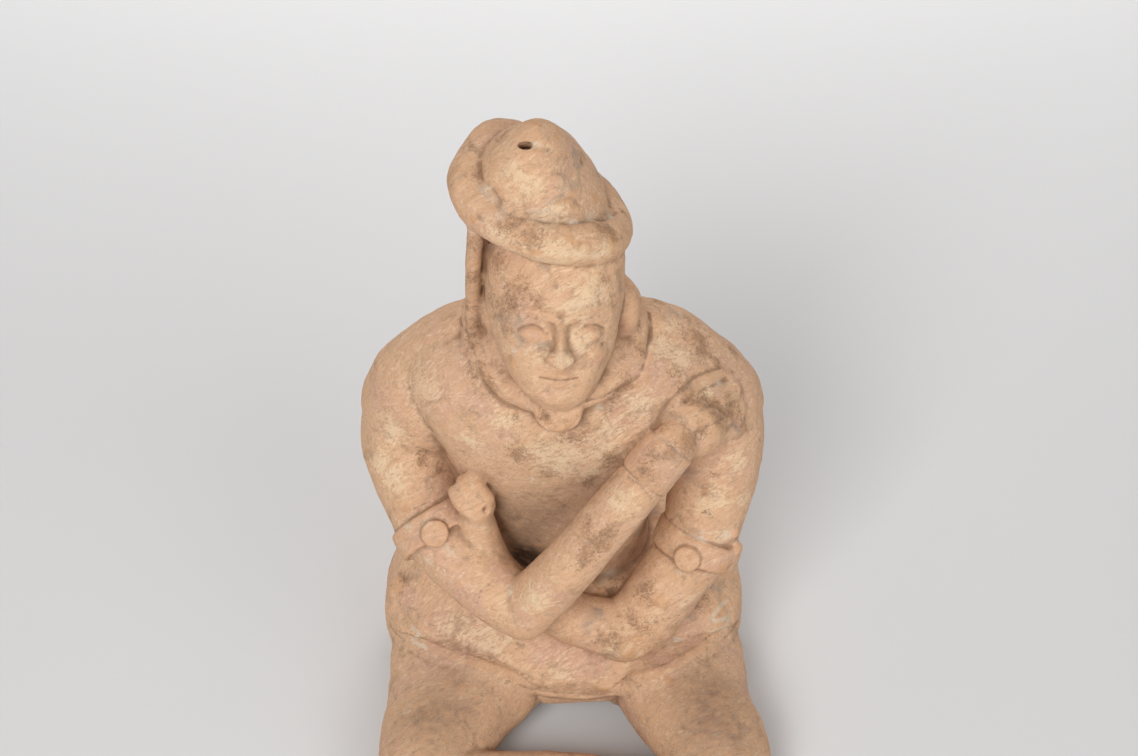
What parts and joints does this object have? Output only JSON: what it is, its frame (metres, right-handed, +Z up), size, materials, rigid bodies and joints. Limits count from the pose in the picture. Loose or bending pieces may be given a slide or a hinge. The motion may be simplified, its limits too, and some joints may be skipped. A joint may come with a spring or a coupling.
{
  "type": "seated clay figurine",
  "caption": "Seated hollow-built fired-clay figurine with a tilted cap and rolled brim, forearms crossed on the chest, hip wrap and shins folded in front.",
  "frame": {"origin": "a point on the flat underside, below the shoulders", "axes": "+Z up, and the figure faces -Y with its own left hand towards +X"},
  "size_m": [0.2129, 0.2217, 0.3436],
  "materials": {
    "fired_clay": "matte"
  },
  "bodies": {
    "root": {"figurine": "fired_clay"}
  },
  "joints": []
}
